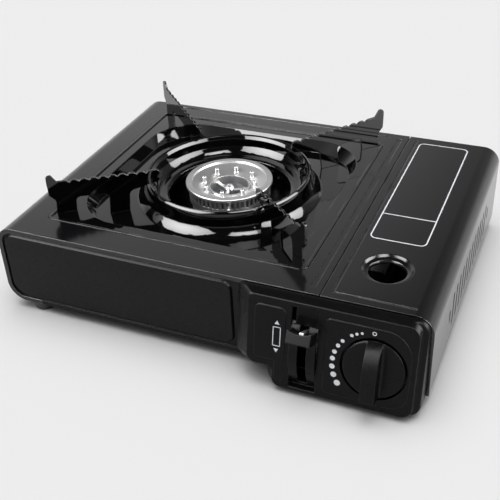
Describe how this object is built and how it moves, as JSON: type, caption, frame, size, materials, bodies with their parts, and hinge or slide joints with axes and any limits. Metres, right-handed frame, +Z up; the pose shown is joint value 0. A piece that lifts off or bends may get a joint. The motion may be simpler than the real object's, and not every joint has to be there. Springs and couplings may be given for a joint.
{
  "type": "portable butane cassette stove",
  "caption": "Portable butane cassette stove with an enamelled drip tray, serrated pan supports, slotted burner, hinged cartridge lid, locking lever and ignition knob.",
  "frame": {"origin": "on the table under the middle of the whole stove, knob included", "axes": "+X towards the stove's right side, where the cartridge lies, +Y towards its back, +Z up"},
  "size_m": [0.34, 0.2796, 0.108],
  "materials": {
    "black_enamelled_steel": "gloss black enamel",
    "black_painted_panel": "satin black paint",
    "black_tray_enamel": "high gloss black vitreous enamel",
    "bare_steel": "plain zinc-plated steel",
    "cast_aluminium": "fine cast and turned",
    "zinc_casting": "die-cast, matt",
    "aluminium_sheet": "plain rolled sheet",
    "brass": "turned",
    "white_ceramic": "glazed white",
    "red_lead": "silicone-insulated lead",
    "dark_rubber": "matt",
    "black_plastic": "fine satin moulding",
    "black_foot_plastic": "matt moulding",
    "pale_plastic": "natural acetal"
  },
  "bodies": {
    "frame": {"body_shell": "black_enamelled_steel", "front_panel": "black_painted_panel", "rear_panel": "black_painted_panel", "base_pan": "black_painted_panel", "partition_wall": "bare_steel", "foot_front_left": "black_foot_plastic", "foot_front_right": "black_foot_plastic", "foot_rear_left": "black_foot_plastic", "foot_rear_right": "black_foot_plastic", "burner_head": "cast_aluminium", "burner_base": "zinc_casting", "burner_bracket": "bare_steel", "burner_screw": "bare_steel", "mixing_tube": "bare_steel", "gas_jet": "brass", "electrode_ceramic": "white_ceramic", "electrode_rod": "bare_steel", "ignition_lead": "red_lead", "regulator_body": "zinc_casting", "regulator_diaphragm": "dark_rubber", "regulator_cover": "bare_steel", "regulator_bracket": "bare_steel", "inlet_nipple": "brass", "inlet_seal": "dark_rubber", "cartridge_guide": "bare_steel", "control_box": "black_plastic", "igniter_body": "black_plastic", "lever_bracket": "bare_steel", "slide_guides": "bare_steel", "heat_plate": "aluminium_sheet", "hinge_pins": "bare_steel", "hinge_brackets": "black_painted_panel", "body_screws": "bare_steel", "control_screws": "bare_steel", "regulator_screws": "bare_steel"},
    "lid": {"cartridge_lid": "black_enamelled_steel"},
    "tray": {"drip_tray": "black_tray_enamel", "pan_support_front_left": "black_tray_enamel", "pan_support_front_right": "black_tray_enamel", "pan_support_rear_left": "black_tray_enamel", "pan_support_rear_right": "black_tray_enamel"},
    "knob_group": {"knob": "black_plastic", "valve_stem": "brass", "igniter_cam": "pale_plastic"},
    "lever_group": {"lever_cap": "black_plastic", "lever_arm": "bare_steel", "lever_pivot_pin": "bare_steel"},
    "holder": {"holder_slide": "bare_steel"},
    "plunger": {"igniter_plunger": "pale_plastic"}
  },
  "joints": [
    {"name": "lid_hinge", "type": "hinge", "parent": "frame", "child": "lid", "pos_m": [0.166, 0.01584, 0.011], "axis": [0, 1, 0], "range_deg": [0, 90]},
    {"name": "tray_lift", "type": "slide", "parent": "frame", "child": "tray", "axis": [0, 0, 1], "range_m": [0, 0.06]},
    {"name": "knob_turn", "type": "hinge", "parent": "frame", "child": "knob_group", "pos_m": [0.135, -0.12376, 0.0361], "axis": [0, -0.9839, 0.1788], "range_deg": [0, 140]},
    {"name": "lever_swing", "type": "hinge", "parent": "frame", "child": "lever_group", "pos_m": [0.086, -0.08263, 0.0275], "axis": [1, 0, 0], "range_deg": [0, 45]},
    {"name": "holder_travel", "type": "slide", "parent": "frame", "child": "holder", "axis": [0, 1, 0], "range_m": [-0.0094, 0]},
    {"name": "plunger_travel", "type": "slide", "parent": "frame", "child": "plunger", "axis": [1, 0, 0], "range_m": [-0.0031, 0]}
  ],
  "couplings": [
    {"joint": "holder_travel", "follows": "lever_swing", "m_per_rad": -0.011694},
    {"joint": "plunger_travel", "follows": "knob_turn", "m_per_rad": -0.0012278}
  ]
}
